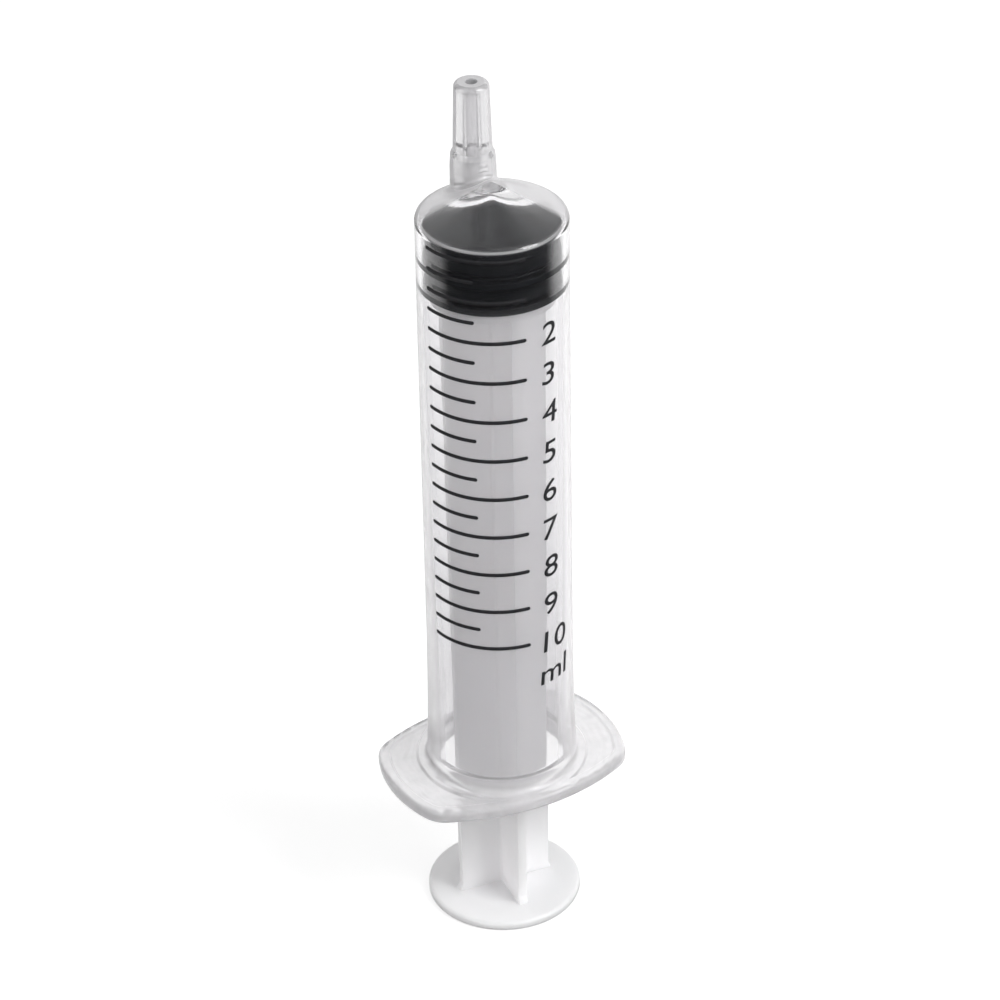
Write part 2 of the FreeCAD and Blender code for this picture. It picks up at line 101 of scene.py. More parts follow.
# Printed scale
INK_GAP = 0.02
INK_THICKNESS = 0.05
ZERO_LEVEL = 92.1
UNIT_PITCH = 1000 / (pi * BORE_RADIUS ** 2)
MARK_HEIGHT = 0.45
MARK_START = 186.0
LONG_SWEEP = 82.0
SHORT_SWEEP = 43.0
NUMERAL_SIZE = 4.0
NUMERAL_STRETCH = 1.22
NUMERAL_SLANT = 0.07
NUMERAL_START = -79.0
TEN_START = -80.4
NUMERAL_DROP = 1.45
NUMERAL_DRIFT = 0.05
UNIT_START = -83.4
UNIT_LEVEL = 34.8
STRIP_WIDTH = 0.2

# Rubber stopper, as the solid has it, with its seal rings squeezed flat on the bore
STOPPER_FOOT = 84.8
WAIST_RADIUS = 7.1
RING_LEVELS = (0.65, 3.95)
RING_HALF_HEIGHT = 0.6
RING_RADIUS = 8.4
RING_SQUEEZED = 7.905
CROWN_RADIUS = 7.5
CROWN_LEVEL = 7.0
CROWN_RISE = 2.5
HOLLOW = ((2.38, 0.0), (2.38, 1.8), (3.68, 1.8), (3.68, 2.76), (2.48, 5.36))

# Photograph's viewpoint
VIEW_TURN = 26.5
VIEW_PITCH = 32.833
VIEW_ROLL = 1.075
VIEW_DISTANCE = 473.7
VIEW_SHIFT = 0.329
VIEW_LEVEL = 55.95
VIEW_LENS = 148.16

# Haze in the clear plastic, and the painted sheen, highlight and shade on it: heights, or
# distances from an axis, where it is none and full
FLANGE_HEIGHTS = (22.5, 20.6)
TUBE_HEIGHTS = (86.5, 84.0)
TUBE_GROWTH = (84.0, 24.0)
WALL_SHEEN_HEIGHTS = (93.0, 92.6)
END_HEIGHTS = (93.1, 93.4)
FOOT_START = (93.4, 94.5)
FOOT_FADE = (100.0, 97.0)
FOOT_REACH = (3.6, 2.9)
TIP_START = (96.5, 98.5)
TIP_END_GROWTH = (106.8, 107.5)
HOLE_SHADE_HEIGHTS = (106.2, 107.0)
HOLE_SHADE_REACH = (0.75, 0.62)
CORNER_HIGHLIGHT_START = (92.72, 92.8)
CORNER_HIGHLIGHT_FADE = (92.95, 92.87)
CORNER_HIGHLIGHT_REACH = (8.2, 8.1)

# Studio: the floor, its side painted dark in reflections, its near part painted dark as shade seen
# through clear plastic, and the dark patch overhead
FLOOR_RADIUS = 3000.0
FLOOR_POINTS = 96
FLOOR_WHITE = 0.42
FLOOR_PAINTED_DARK = 0.02
FLOOR_GLOW = 0.7
THROUGH_GLOW = 0.8
PAINTED_DARK_TURN = 10.0
PAINTED_DARK_EDGE = (-0.15, 0.25)
THROUGH_SHADE_EDGE = (260.0, 180.0)
PATCH_ASIDE = 0.12
PATCH_AHEAD = 0.38
PATCH_UP = 0.917
PATCH_EDGE = (0.2, 0.75)
PATCH_HEART = (0.955, 0.985)

RING_POINTS = 192


def add_object(name, mesh):
    """New object on a finished mesh, smooth all over."""
    mesh.polygons.foreach_set("use_smooth", np.ones(len(mesh.polygons), bool))
    piece = bpy.data.objects.new(name, mesh)
    bpy.context.scene.collection.objects.link(piece)
    return piece


def tube_mesh(name, rings, endless):
    """Mesh on a rows by columns grid of points in millimetres, each row a closed ring.

    An endless tube's last row joins its first, and otherwise its two ends are closed by one face.
    """
    rows, columns, _ = rings.shape
    numbers = np.arange(rows * columns).reshape(rows, columns)
    following = np.roll(numbers, -1, axis=0)
    if not endless:
        numbers, following = numbers[:-1], following[:-1]
    quads = np.stack([numbers, np.roll(numbers, -1, 1), np.roll(following, -1, 1), following], -1)
    faces = quads.reshape(-1, 4).tolist()
    if not endless:
        faces.append(numbers[0][::-1].tolist())
        faces.append(following[-1].tolist())
    mesh = bpy.data.meshes.new(name)
    mesh.from_pydata(rings.reshape(-1, 3) * MM, [], faces)
    mesh.update()
    return mesh


def outward(mesh):
    """The mesh with its faces turned to point out of the closed form."""
    shell = bmesh.new()
    shell.from_mesh(mesh)
    bmesh.ops.recalc_face_normals(shell, faces=shell.faces)
    shell.to_mesh(mesh)
    shell.free()
    return mesh


def rounded(corners, steps=6, guard=0.04):
    """Dense line through corners given as (across, up, radius).

    Each inner corner becomes an arc of its radius: it starts radius / tan(half the opening angle)
    before the corner, and a guard point a little further off keeps the straight runs flat.
    """
    line = [np.array(corners[0][:2], float)]
    for before, corner, after in zip(corners, corners[1:], corners[2:]):
        place = np.array(corner[:2], float)
        back = np.array(before[:2]) - place
        ahead = np.array(after[:2]) - place
        back /= np.linalg.norm(back)
        ahead /= np.linalg.norm(ahead)
        half = np.arccos(np.clip(back @ ahead, -1, 1)) / 2
        reach = corner[2] / np.tan(half)
        centre = place + (back + ahead) / np.linalg.norm(back + ahead) * corner[2] / np.sin(half)
        first = place + back * reach - centre
        last = place + ahead * reach - centre
        sweep = pi - 2 * half
        share = np.linspace(0, 1, steps + 1)[:, None]
        arc = (np.sin((1 - share) * sweep) * first + np.sin(share * sweep) * last) / np.sin(sweep)
        line.append(place + back * (reach + guard))
        line.extend(centre + arc)
        line.append(place + ahead * (reach + guard))
    line.append(np.array(corners[-1][:2], float))
    return np.array(line)


TURNS = np.linspace(0, 2 * pi, RING_POINTS, endpoint=False)
ROUND = np.stack([np.cos(TURNS), np.sin(TURNS)], -1)


def turned(profile, offset=0.0):
    """Rings of a profile of (radius, height) rows about the upright axis at that +y offset."""
    rings = np.empty((len(profile), RING_POINTS, 3))
    rings[..., :2] = profile[:, 0, None, None] * ROUND + (0, offset)
    rings[..., 2] = profile[:, 1, None]
    return rings


def eased(share):
    """Smooth step: 0 below 0, 1 above 1 and 3s^2 - 2s^3 between."""
    share = np.clip(share, 0, 1)
    return share * share * (3 - 2 * share)


def cone_height(flat, inside=False):
    """Height of the barrel's end cone over points (x, y), or of the flatter cone inside it.

    It falls from the apex in proportion to the distance from the axis, with a rounded apex.
    """
    away = np.sqrt((flat ** 2).sum(-1) + APEX_ROUND ** 2)
    if inside:
        return END_INSIDE + INNER_RISE * (1 - away / BORE_RADIUS)
    return SHOULDER + CONE_RISE * (1 - away / OUTER_RADIUS)


def blend(start, corner, end, steps):
    """Rings of a rounded corner: quadratic curves from start to end that aim at the corner."""
    share = np.linspace(0, 1, steps)[:, None, None]
    return (1 - share) ** 2 * start + 2 * share * (1 - share) * corner + share ** 2 * end


def over_cone(first, last, steps, inside=False):
    """Rings laid on the end cone, whose plan moves evenly from the first ring to the last."""
    share = np.linspace(0, 1, steps)[:, None, None]
    flat = first[:, :2] * (1 - share) + last[:, :2] * share
    return np.concatenate([flat, cone_height(flat, inside)[..., None]], -1)


def flange_reach(inset):
    """Distance from the axis to the flange's outline, moved in by the inset, at every turn.

    In the first quarter the outline is an end bow, a rounded corner and a side bow. The distance
    along a direction d to a circle of radius R about c is c.d + sqrt((c.d)^2 - c.c + R^2).
    """
    side_centre = np.array([0, SIDE_REACH - SIDE_BOW])
    end_centre = np.array([WING_REACH - END_BOW, 0])
    side_gap = SIDE_BOW - FLANGE_CORNER
    end_gap = END_BOW - FLANGE_CORNER
    between = end_centre - side_centre
    length = hypot(*between)
    along = (side_gap ** 2 - end_gap ** 2 + length ** 2) / (2 * length)
    across = (side_gap ** 2 - along ** 2) ** 0.5
    towards = between / length
    corner_centre = side_centre + towards * along + np.array([towards[1], -towards[0]]) * across
    end_touch = end_centre + (corner_centre - end_centre) / end_gap * (END_BOW - inset)
    side_touch = side_centre + (corner_centre - side_centre) / side_gap * (SIDE_BOW - inset)
    quarter = np.abs(ROUND)
    turn = np.arctan2(quarter[:, 1], quarter[:, 0])

    def reach(centre, radius):
        forward = quarter @ centre
        under_root = forward ** 2 - centre @ centre + (radius - inset) ** 2
        return forward + np.sqrt(np.maximum(under_root, 0))

    distance = np.where(turn > atan2(side_touch[1], side_touch[0]),
                        reach(side_centre, SIDE_BOW), reach(corner_centre, FLANGE_CORNER))
    return np.where(turn < atan2(end_touch[1], end_touch[0]), reach(end_centre, END_BOW), distance)


def flange_rings():
    """Rings over the flange from the tube's root to the bore's mouth.

    The top runs evenly from a circle to the outline and sinks in the two finger recesses, the edge
    is two quarter rounds, and the underside runs back to the mouth.
    """
    top = OPEN_END + FLANGE_THICKNESS
    inner = np.full(RING_POINTS, FOOT_RADIUS + ROOT_ROUND + 0.05)
    outer = flange_reach(FLANGE_EDGE_ROUND)
    lip = flange_reach(LIP_WIDTH)
    share = np.linspace(0, 1, 40)[:, None]
    reach = inner * (1 - share) + outer * share
    inside = eased((reach - RECESS_RADIUS) / RECESS_SLOPE) * eased((lip - reach) / RECESS_SLOPE)
    rows = [(line, top - RECESS_DEPTH * depth) for line, depth in zip(reach, inside)]
    quarter = np.linspace(0, pi / 2, 7)
    for swing in quarter[1:]:
        inset = FLANGE_EDGE_ROUND * (1 - sin(swing))
        rows.append((flange_reach(inset), top - FLANGE_EDGE_ROUND * (1 - cos(swing))))
    for swing in quarter[::-1]:
        inset = FLANGE_EDGE_ROUND * (1 - sin(swing))
        rows.append((flange_reach(inset), OPEN_END + FLANGE_EDGE_ROUND * (1 - cos(swing))))
    for part in np.linspace(0, 1, 12)[1:]:
        rows.append((outer * (1 - part) + (BORE_RADIUS + 2 * MOUTH_CHAMFER) * part, OPEN_END))
    rings = np.empty((len(rows), RING_POINTS, 3))
    for ring, (distance, height) in zip(rings, rows):
        ring[:, :2] = ROUND * distance[:, None]
        ring[:, 2] = height
    return rings


def tip_foot_rings():
    """Rings of the soft foot between the tip's collar and the end cone.

    The foot's reach on both sides of the corner is its radius / tan(half the opening angle),
    and the opening angle is a quarter turn less the cone's rise away from the tip.
    """
    radius = COLLAR_FOOT_RADIUS
    corner = np.empty((RING_POINTS, 3))
    corner[:, :2] = ROUND * radius + (0, TIP_OFFSET)
    corner[:, 2] = cone_height(corner[:, :2])
    away = corner[:, :2] / np.linalg.norm(corner[:, :2], axis=1)[:, None]
    rise = -CONE_RISE / OUTER_RADIUS * (away * ROUND).sum(1)
    reach = TIP_FOOT_ROUND / np.tan((pi / 2 - np.arctan(rise)) / 2)
    above = corner.copy()
    above[:, 2] += reach
    beside = corner.copy()
    beside[:, :2] += ROUND * (reach * np.cos(np.arctan(rise)))[:, None]
    beside[:, 2] = cone_height(beside[:, :2])
    return blend(above, corner, beside, 10)


def make_barrel():
    """Clear barrel as one endless tube of rings.

    They run out of the lumen, over the tip, the cone, the wall and the flange, in at the mouth,
    up the bore, over the inner cone and into the lumen again.
    """
    slope = CONE_RISE / OUTER_RADIUS
    tip = rounded([
        (LUMEN_RADIUS, TIP_TOP - 1.5),
        (LUMEN_RADIUS, TIP_TOP, TIP_HOLE_ROUND),
        (TIP_RADIUS, TIP_TOP, TIP_ROUND),
        (TAPER_FOOT_RADIUS, TAPER_FOOT, TAPER_FOOT_ROUND),
        (COLLAR_RADIUS, COLLAR_TOP, COLLAR_ROUND),
        (COLLAR_FOOT_RADIUS - 0.03, COLLAR_LINE_END),
    ])
    foot = tip_foot_rings()
    wall = rounded([
        (OUTER_RADIUS - 1, SHOULDER + slope),
        (OUTER_RADIUS, SHOULDER, SHOULDER_ROUND),
        (OUTER_RADIUS, OPEN_END + FLANGE_THICKNESS + FOOT_LENGTH, FOOT_ROUND),
        (FOOT_RADIUS, OPEN_END + FLANGE_THICKNESS, ROOT_ROUND),
        (FOOT_RADIUS + ROOT_ROUND + 0.2, OPEN_END + FLANGE_THICKNESS),
    ])[1:-1]
    cone = over_cone(foot[-1], turned(wall[:1])[0], 36)[1:-1]
    bead = np.linspace(-1, 1, 13)[:, None]
    bead = np.hstack([BORE_RADIUS - BEAD_RISE * (1 - bead ** 2),
                      OPEN_END + BEAD_LEVEL + BEAD_HALF_HEIGHT * bead])
    mouth = rounded([
        (BORE_RADIUS + 1, OPEN_END),
        (BORE_RADIUS + MOUTH_CHAMFER, OPEN_END, 0.08),
        (BORE_RADIUS, OPEN_END + 2 * MOUTH_CHAMFER, 0.3),
        (BORE_RADIUS, OPEN_END + 2.2),
    ])[1:]
    bore = rounded([
        (BORE_RADIUS, OPEN_END + 4),
        (BORE_RADIUS, END_INSIDE, BORE_CORNER_ROUND),
        (BORE_RADIUS - 1, END_INSIDE + INNER_RISE / BORE_RADIUS),
    ])[:-1]
    lumen_foot = cone_height(np.array([0, TIP_OFFSET]), inside=True)
    lumen = turned(np.array([(LUMEN_ROOT_RADIUS, lumen_foot)]), TIP_OFFSET)[0]
    lumen[:, 2] = cone_height(lumen[:, :2], inside=True)
    before = lumen.copy()
    before[:, :2] += ROUND * LUMEN_ROOT_ROUND
    before[:, 2] = cone_height(before[:, :2], inside=True)
    above = lumen + (0, 0, LUMEN_ROOT_ROUND)
    inside = over_cone(turned(bore[-1:])[0], before, 36, inside=True)[1:]
    passage = turned(np.array([(LUMEN_ROOT_RADIUS - 0.01, lumen_foot + 1)]), TIP_OFFSET)
    rings = np.concatenate([
        turned(tip, TIP_OFFSET), foot, cone, turned(wall), flange_rings(), turned(mouth),
        turned(bead), turned(bore), inside, blend(before, lumen, above, 5)[1:], passage,
    ])
    barrel = add_object("clear_barrel", outward(tube_mesh("clear_barrel", rings, endless=True)))
    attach(barrel, "barrel")
    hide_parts("barrel")
    return barrel


def make_stopper():
    """Rubber stopper: a turned profile from the crown's apex over two seal rings to the hollow.

    Each ring bows out as a parabola over its height and is squeezed flat where it meets the bore.
    """
    line = [rounded([
        (0.02, CROWN_LEVEL + CROWN_RISE),
        (CROWN_RADIUS, CROWN_LEVEL, 0.3),
        (CROWN_RADIUS, RING_LEVELS[1] + 2 * RING_HALF_HEIGHT, 0.3),
        (WAIST_RADIUS, RING_LEVELS[1] + RING_HALF_HEIGHT),
    ])[:-1]]
    across = np.linspace(1, -1, 25)[:, None]
    for level in RING_LEVELS[::-1]:
        bow = WAIST_RADIUS + (RING_RADIUS - WAIST_RADIUS) * (1 - across ** 2)
        line.append(np.hstack([np.minimum(bow, RING_SQUEEZED), level + RING_HALF_HEIGHT * across]))
    foot = [(WAIST_RADIUS, RING_LEVELS[0] - RING_HALF_HEIGHT), (WAIST_RADIUS, 0.0, 0.1)]
    foot += [(radius, height, 0.1) for radius, height in HOLLOW]
    line.append(rounded(foot + [(0.02, HOLLOW[-1][1])])[1:])
    profile = np.concatenate(line) + (0, STOPPER_FOOT)
    mesh = outward(tube_mesh("seal_stopper", turned(profile), endless=False))
    stopper = add_object("seal_stopper", mesh)
    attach(stopper, "stopper")
    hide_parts("rubber_stopper")
    return stopper


def make_marks():
    """Printed marks: strokes with round ends bent round the barrel, long at each millilitre.

    Along a stroke the half height is sqrt(h^2 - d^2), d the distance past an end's centre.
    """
    half = MARK_HEIGHT / 2
    inner = OUTER_RADIUS + INK_GAP
    outer = inner + INK_THICKNESS
    end = half * np.cos(np.linspace(0.1, pi / 2, 7))
    meshes = []
    for number in range(21):
        sweep = SHORT_SWEEP if number % 2 else LONG_SWEEP
        length = radians(sweep) * outer
        middle = np.linspace(half, length - half, 40)[1:-1]
        along = np.concatenate([half - end, middle, (length - half + end)[::-1]])
        past = np.maximum(0, np.maximum(half - along, along - length + half))
        tall = np.sqrt(half ** 2 - past ** 2)
        turn = radians(MARK_START) + along / outer
        level = ZERO_LEVEL - number * UNIT_PITCH / 2
        rings = np.empty((len(along), 4, 3))
        for place, (radius, side) in enumerate(((inner, -1), (outer, -1), (outer, 1), (inner, 1))):
            rings[:, place] = np.stack([radius * np.cos(turn), radius * np.sin(turn),
                                        level + side * tall], -1)
        meshes.append(outward(tube_mesh("mark", rings, endless=False)))
    marks = add_object("scale_marks", joined("scale_marks", meshes))
    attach(marks, "barrel")
    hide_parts("scale_lines")
    return marks


def joined(name, meshes):
    """One mesh out of several, which are then removed."""
    shell = bmesh.new()
    for mesh in meshes:
        shell.from_mesh(mesh)
        bpy.data.meshes.remove(mesh)
    whole = bpy.data.meshes.new(name)
    shell.to_mesh(whole)
    shell.free()
    return whole


def bent_text(words, start, baseline):
    """Raised flat lettering, cut into narrow upright strips and bent round the barrel.

    A letter's x runs along the circumference from the start turn, its y up from the baseline and
    its thickness out from the barrel's face.
    """
    curve = bpy.data.curves.new("lettering", "FONT")
    curve.body = words
    curve.size = NUMERAL_SIZE
    curve.shear = NUMERAL_SLANT
    curve.extrude = INK_THICKNESS / 2
    curve.resolution_u = 5
    holder = bpy.data.objects.new("lettering", curve)
    bpy.context.scene.collection.objects.link(holder)
    graph = bpy.context.evaluated_depsgraph_get()
    mesh = bpy.data.meshes.new_from_object(holder.evaluated_get(graph))
    bpy.data.objects.remove(holder)
    bpy.data.curves.remove(curve)
    shell = bmesh.new()
    shell.from_mesh(mesh)
    bmesh.ops.remove_doubles(shell, verts=shell.verts, dist=1e-4)
    low = min(vert.co.x for vert in shell.verts)
    high = max(vert.co.x for vert in shell.verts)
    for cut in np.arange(low + STRIP_WIDTH, high, STRIP_WIDTH):
        everything = list(shell.verts) + list(shell.edges) + list(shell.faces)
        bmesh.ops.bisect_plane(shell, geom=everything, plane_co=(cut, 0, 0), plane_no=(1, 0, 0))
    bmesh.ops.triangulate(shell, faces=shell.faces)
    shell.to_mesh(mesh)
    shell.free()
    flat = np.empty(len(mesh.vertices) * 3)
    mesh.vertices.foreach_get("co", flat)
    flat = flat.reshape(-1, 3)
    radius = OUTER_RADIUS + INK_GAP + INK_THICKNESS / 2 + flat[:, 2]
    turn = radians(start) + (flat[:, 0] - low) * NUMERAL_STRETCH / OUTER_RADIUS
    placed = np.stack([radius * np.cos(turn), radius * np.sin(turn), baseline + flat[:, 1]], -1)
    mesh.vertices.foreach_set("co", (placed * MM).ravel())
    mesh.update()
    return mesh


def make_numerals():
    """Numerals from 2 to 10 beside the long marks, and the unit under them.

    Each baseline lies a drop under its mark, and a little more from one numeral to the next.
    """
    meshes = []
    for number in range(2, 11):
        start = NUMERAL_START if number < 10 else TEN_START
        level = ZERO_LEVEL - number * UNIT_PITCH
        drop = NUMERAL_DROP + NUMERAL_DRIFT * (number - 2)
        meshes.append(bent_text(str(number), start, level - drop))
    meshes.append(bent_text("ml", UNIT_START, UNIT_LEVEL))
    numerals = add_object("scale_numerals", joined("scale_numerals", meshes))
    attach(numerals, "barrel")
    return numerals


class Field:
    """A number that varies over a surface: arithmetic on it adds Math nodes to the material."""

    def __init__(self, tree, socket):
        self.tree = tree
        self.socket = socket

    def maths(self, operation, first, second):
        node = self.tree.nodes.new("ShaderNodeMath")
        node.operation = operation
        feed(self.tree, node.inputs[0], first)
        feed(self.tree, node.inputs[1], second)
        return Field(self.tree, node.outputs[0])

    def __add__(self, other):
        return self.maths("ADD", self, other)

    def __radd__(self, other):
        return self.maths("ADD", other, self)

    def __sub__(self, other):
        return self.maths("SUBTRACT", self, other)

    def __rsub__(self, other):
        return self.maths("SUBTRACT", other, self)

    def __mul__(self, other):
        return self.maths("MULTIPLY", self, other)

    def __rmul__(self, other):
        return self.maths("MULTIPLY", other, self)

    def __truediv__(self, other):
        return self.maths("DIVIDE", self, other)

    def __rtruediv__(self, other):
        return self.maths("DIVIDE", other, self)


def feed(tree, slot, value):
    """Links a field to an input, or sets a plain value on it."""
    if isinstance(value, Field):
        tree.links.new(value.socket, slot)
    else:
        slot.default_value = value


class Finish:
    """Node tree of a material or the world, with one method that adds any node."""

    def __init__(self, owner):
        owner.use_nodes = True
        self.tree = owner.node_tree
        self.owner = owner

    def add(self, kind, settings=None, inputs=None, output=0):
        """A node of that type: its settings first, then its inputs by name or number."""
        node = self.tree.nodes.new(kind)
        for name, value in (settings or {}).items():
            setattr(node, name, value)
        for name, value in (inputs or {}).items():
            feed(self.tree, node.inputs[name], value)
        return Field(self.tree, node.outputs[output])

    def shade(self, values):
        """Sets or links inputs of the material's own shader."""
        shader = self.tree.nodes["Principled BSDF"]
        for name, value in values.items():
            feed(self.tree, shader.inputs[name], value)

    def maths(self, operation, value):
        """One Math node of one value."""
        return self.add("ShaderNodeMath", {"operation": operation}, {0: value})

    def mix_shaders(self, share, second):
        """Puts a second shader over the material's own by that share."""
        mixed = self.add("ShaderNodeMixShader", inputs={
            0: share, 1: Field(self.tree, self.tree.nodes["Principled BSDF"].outputs[0]),
            2: second})
        feed(self.tree, self.tree.nodes["Material Output"].inputs["Surface"], mixed)

    def grain(self, size, stretch=(1, 1, 1)):
        """Noise from 0 to 1 on Object coordinates with patches of that size in millimetres."""
        place = self.add("ShaderNodeTexCoord", output="Object")
        scale = tuple(1 / (size * MM * part) for part in stretch)
        place = self.add("ShaderNodeMapping", inputs={"Vector": place, "Scale": scale})
        return self.add("ShaderNodeTexNoise", inputs={"Vector": place, "Scale": 1.0,
                                                      "Detail": 3.0})

    def position(self):
        """The three Object coordinates, in millimetres."""
        place = self.add("ShaderNodeTexCoord", output="Object")
        return [self.add("ShaderNodeSeparateXYZ", inputs={0: place}, output=axis) * (1 / MM)
                for axis in range(3)]

    def step(self, value, start, end):
        """Smooth step of a value: 0 at the start and 1 at the end, which may be the lower."""
        return self.add("ShaderNodeMapRange", {"interpolation_type": "SMOOTHSTEP"},
                        {"Value": value, "From Min": start, "From Max": end})

    def tint(self, mask, first, second):
        """Colour that goes from the first to the second as the mask goes from 0 to 1."""
        return self.add("ShaderNodeMix", {"data_type": "RGBA"},
                        {0: mask, 6: (*first, 1), 7: (*second, 1)}, output=2)

    def rings(self, away, pitch, waver):
        """Soft waves from 0 to 1 over a distance, a pitch apart and pushed about by a waver."""
        return 0.5 + 0.5 * self.maths("SINE", (2 * pi / pitch) * (away + 2.5 * waver))

    def relief(self, height, depth, under=None):
        """Normal of a surface raised by a height of 0 to 1 times the depth in millimetres."""
        inputs = {"Height": height, "Strength": 1.0, "Distance": depth * MM}
        if under:
            inputs["Normal"] = under
        return self.add("ShaderNodeBump", inputs=inputs)


def make_clear_plastic():
    """Clear moulded plastic, milky where it is thick and where it flowed in.

    A second, cloudy shader shows a little in the flange and the tube, more so towards the tube's
    foot, and more in the tip and round its foot. As a painted pale sheen it fills the end cone and
    the wall at the stopper's level where they are looked through edge on. It draws a painted
    highlight, a thin light line, in the bore's end corner, and paints shade at the tip's hole as a
    grey rim. Slight flow streaks run along the barrel and round the flange.
    """
    finish = Finish(bpy.data.materials.new("clear_plastic"))
    x, y, z = finish.position()
    away = finish.maths("SQRT", x * x + y * y)
    from_tip = finish.maths("SQRT", x * x + (y - TIP_OFFSET) * (y - TIP_OFFSET))
    mottle = finish.grain(3.0)
    along = finish.relief(finish.grain(1.6, (1, 1, 14)), 0.012)
    flange = finish.step(z, *FLANGE_HEIGHTS)
    swirl = finish.rings(away, 0.9, finish.grain(6.0))
    relief = finish.relief(swirl * flange, 0.04, along)
    edge_on = finish.add("ShaderNodeLayerWeight", inputs={"Blend": 0.5}, output="Facing")
    tube = finish.step(z, *TUBE_HEIGHTS) * (0.15 + 0.09 * finish.step(z, *TUBE_GROWTH))
    # Painted sheen: the wall at the stopper's level goes pale where it is looked through edge on
    side = finish.step(z, *WALL_SHEEN_HEIGHTS) * 0.4 * finish.step(edge_on, 0.5, 0.9)
    above = finish.step(z, *END_HEIGHTS)
    # A faint haze over the end, and a painted sheen where the end cone is looked through edge on
    end = above * (0.02 + 0.8 * finish.step(edge_on, 0.46, 0.55))
    foot = finish.step(z, *FOOT_START) * finish.step(z, *FOOT_FADE)
    foot = foot * finish.step(from_tip, *FOOT_REACH)
    tip = finish.step(z, *TIP_START) * (0.3 + 0.3 * finish.step(z, *TIP_END_GROWTH))
    # Painted highlight: a thin light line in the bore's end corner
    corner = finish.step(z, *CORNER_HIGHLIGHT_START) * finish.step(z, *CORNER_HIGHLIGHT_FADE)
    corner = corner * finish.step(away, *CORNER_HIGHLIGHT_REACH)
    # Real haze, with the painted sheen and the painted highlight added to it
    haze_and_painted_light = end + 0.5 * foot + tip + 0.45 * corner + tube + side + (0.1 + 0.25 * mottle) * flange
    # Painted shade: a dark grey rim at the tip's hole
    hole = finish.step(z, *HOLE_SHADE_HEIGHTS) * finish.step(from_tip, *HOLE_SHADE_REACH)
    finish.shade({
        "Base Color": finish.tint(mottle, (0.945, 0.94, 0.95), (0.975, 0.97, 0.98)),
        "Roughness": 0.03 + 0.04 * mottle,
        "Transmission Weight": 1.0,
        "IOR": 1.49,
        "Normal": relief,
    })
    # The cloudy shader is greyer above the shoulder and on the flange, and dark grey at the tip's
    # hole, where it is painted shade
    cloudy = finish.add("ShaderNodeBsdfPrincipled", inputs={
        "Base Color": finish.tint(0.4 * above + 0.6 * hole + 0.12 * flange,
                                  (0.97, 0.96, 0.975), (0.3, 0.3, 0.31)),
        "Roughness": 0.4,
        "Transmission Weight": 0.3,
        "Specular IOR Level": 0.3,
        "IOR": 1.49,
        "Normal": relief,
    })
    # The cloudy shader's share also carries the painted shade at the tip's hole
    finish.mix_shaders(haze_and_painted_light + 0.5 * hole, cloudy)
    return finish.owner


def make_white_plastic():
    """White moulded plastic of the rod, a little see-through, with soft flow marks."""
    finish = Finish(bpy.data.materials.new("white_plastic"))
    flow = finish.grain(5.0, (1, 1, 3))
    skin = finish.grain(0.4)
    finish.shade({
        "Base Color": finish.tint(flow, (0.91, 0.895, 0.92), (0.96, 0.945, 0.96)),
        "Roughness": 0.32 + 0.12 * skin,
        "IOR": 1.49,
        "Subsurface Weight": 0.8,
        "Subsurface Radius": (1.0, 0.95, 0.95),
        "Subsurface Scale": 0.003,
        "Normal": finish.relief(flow, 0.02),
    })
    return finish.owner


def make_black_rubber():
    """Black moulded rubber under a thin film of lubricant, with a fine skin."""
    finish = Finish(bpy.data.materials.new("black_rubber"))
    skin = finish.grain(0.25)
    film = finish.grain(2.5)
    finish.shade({
        "Base Color": finish.tint(film, (0.006, 0.007, 0.009), (0.012, 0.013, 0.016)),
        "Roughness": 0.45 + 0.15 * film,
        "Specular IOR Level": 0.12,
        "Coat Weight": 0.02 + 0.06 * film,
        "Coat Roughness": 0.2,
        "Normal": finish.relief(skin, 0.01),
    })
    return finish.owner


def make_ink():
    """Grey-black printed ink, a little thinner in places."""
    finish = Finish(bpy.data.materials.new("black_ink"))
    cover = finish.grain(0.35)
    finish.shade({
        "Base Color": finish.tint(cover, (0.012, 0.012, 0.014), (0.036, 0.036, 0.039)),
        "Roughness": 0.55 + 0.2 * cover,
        "Specular IOR Level": 0.15,
    })
    return finish.owner


def coat(piece, material):
    """Gives a piece one material in place of those it has."""
    piece.data.materials.clear()
    piece.data.materials.append(material)


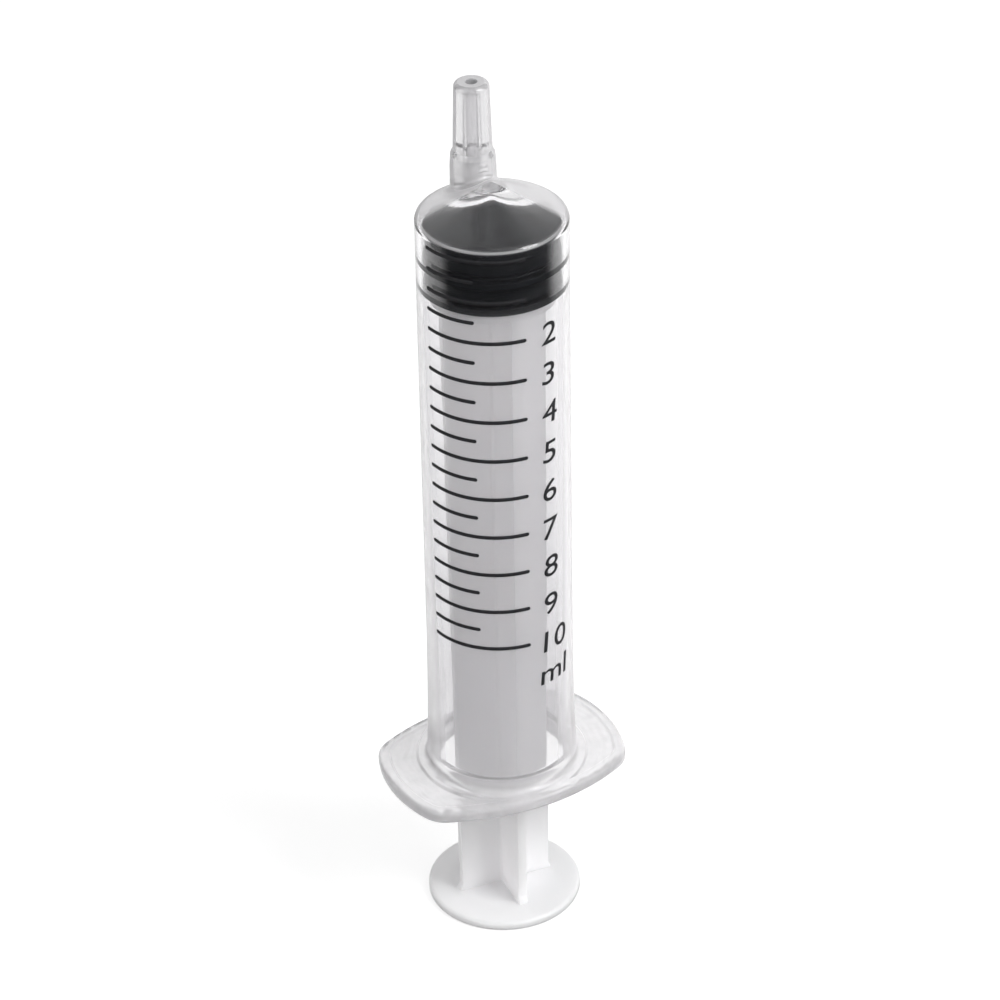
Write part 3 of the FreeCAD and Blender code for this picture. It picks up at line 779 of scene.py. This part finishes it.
def make_floor():
    """Wide white disc under the object.

    It is brightened for the eye, for gloss and for clear plastic but not for the object. In gloss
    the side that the camera stands on is painted dark, a painted dark reflection. Through clear
    plastic only the near part of that side is painted dark, as painted shade seen through it. How
    near a place is to that side is the cosine of its turn away from it.
    """
    rim = np.linspace(0, 2 * pi, FLOOR_POINTS, endpoint=False)
    disc = np.stack([np.cos(rim), np.sin(rim), np.zeros(FLOOR_POINTS)], -1) * FLOOR_RADIUS
    mesh = bpy.data.meshes.new("floor")
    mesh.from_pydata(disc * MM, [], [list(range(FLOOR_POINTS))])
    floor = add_object("floor", mesh)
    finish = Finish(bpy.data.materials.new("studio_white"))
    x, y, _ = finish.position()
    camera, glossy, through = light_rays(finish)
    a = radians(VIEW_TURN - PAINTED_DARK_TURN)
    away = finish.maths("SQRT", x * x + y * y + 1)
    nearer = (-sin(a) * x - cos(a) * y) / away
    # Painted dark reflection: the side the camera stands on is dark to gloss
    painted_dark_side = finish.step(nearer, *PAINTED_DARK_EDGE)
    # Painted shade: the near part of that side is dark to rays through clear plastic
    painted_through_shade = painted_dark_side * finish.step(away, *THROUGH_SHADE_EDGE)
    reflected = glossy * (1 - through)
    # Where the floor is painted dark: in reflections on that side, and through clear plastic on
    # its near part
    painted_dark = reflected * painted_dark_side + through * painted_through_shade
    glow = FLOOR_GLOW * (camera + reflected * (1 - painted_dark_side)) + THROUGH_GLOW * through * (1 - painted_through_shade)
    finish.shade({
        "Base Color": finish.tint(painted_dark, [FLOOR_WHITE] * 3, [FLOOR_PAINTED_DARK] * 3),
        "Roughness": 0.9,
        "Emission Color": finish.tint(glow, (0, 0, 0), (1, 1, 1)),
        "Emission Strength": 1.0,
    })
    coat(floor, finish.owner)


def light_rays(finish):
    """Three masks: 1 for rays from the eye, off a gloss or through a clear wall, and through one.

    A ray through clear plastic counts in the last two.
    """
    return [finish.add("ShaderNodeLightPath", output=f"Is {kind} Ray")
            for kind in ("Camera", "Glossy", "Transmission")]


def light_world(level):
    """White surroundings that light the object at that level and look plain white.

    A wide patch overhead is half dark to reflections, and darker still at its heart. How near a
    direction is to the patch is the cosine between them.
    """
    world = bpy.data.worlds.new("studio")
    bpy.context.scene.world = world
    finish = Finish(world)
    camera, glossy, through = light_rays(finish)
    direction = finish.add("ShaderNodeTexCoord", output="Generated")
    a = radians(VIEW_TURN)
    patch = (PATCH_ASIDE * cos(a) + PATCH_AHEAD * sin(a),
             PATCH_AHEAD * cos(a) - PATCH_ASIDE * sin(a), PATCH_UP)
    near = finish.add("ShaderNodeVectorMath", {"operation": "DOT_PRODUCT"},
                      {0: direction, 1: patch}, output="Value")
    dark = glossy * (0.5 * finish.step(near, *PATCH_EDGE) + 0.4 * finish.step(near, *PATCH_HEART))
    seen = camera + glossy + through
    background = finish.tree.nodes["Background"]
    background.inputs["Color"].default_value = (1, 1, 1, 1)
    feed(finish.tree, background.inputs["Strength"], level + (1 - level) * seen - dark)


def add_lamp(name, turn, rise, distance, size, power):
    """Square soft lamp that faces the barrel's middle from a turn and a rise in degrees."""
    lamp = bpy.data.lights.new(name, "AREA")
    lamp.size = size * MM
    lamp.energy = power
    holder = bpy.data.objects.new(name, lamp)
    bpy.context.scene.collection.objects.link(holder)
    a, e = radians(turn), radians(rise)
    back = np.array([cos(a) * cos(e), sin(a) * cos(e), sin(e)])
    side = np.array([-sin(a), cos(a), 0])
    place(holder, side, np.cross(back, side), back, np.array([0, 0, VIEW_LEVEL]) + back * distance)


def place(holder, right, up, back, where):
    """Sets an object's axes and its place in millimetres."""
    matrix = np.eye(4)
    matrix[:3, 0] = right
    matrix[:3, 1] = up
    matrix[:3, 2] = back
    matrix[:3, 3] = where * MM
    holder.matrix_world = Matrix(matrix)


def add_camera():
    """Camera at the photograph's viewpoint.

    It looks down at the barrel by the pitch, from the side turned by the view's turn, and is
    rolled and moved a little sideways.
    """
    a, p, roll = radians(VIEW_TURN), radians(VIEW_PITCH), radians(VIEW_ROLL)
    level = np.array([cos(a), -sin(a), 0])
    back = np.array([-sin(a) * cos(p), -cos(a) * cos(p), sin(p)])
    above = np.cross(back, level)
    right = cos(roll) * level - sin(roll) * above
    up = sin(roll) * level + cos(roll) * above
    camera = bpy.data.cameras.new("camera")
    camera.lens = VIEW_LENS
    camera.sensor_width = 36
    camera.clip_start = 0.01
    holder = bpy.data.objects.new("camera", camera)
    bpy.context.scene.collection.objects.link(holder)
    where = back * VIEW_DISTANCE + level * VIEW_SHIFT + np.array([0, 0, VIEW_LEVEL])
    place(holder, right, up, back, where)
    bpy.context.scene.camera = holder


add_camera()
make_floor()
light_world(0.6)
add_lamp("key", -55, 42, 800, 350, 4.2)
add_lamp("fill", 200, 25, 900, 600, 0.6)
bpy.context.scene.view_settings.view_transform = "Standard"

coat(make_barrel(), make_clear_plastic())
ink = make_ink()
coat(make_marks(), ink)
coat(make_numerals(), ink)
coat(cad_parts["plunger_rod"], make_white_plastic())
coat(make_stopper(), make_black_rubber())
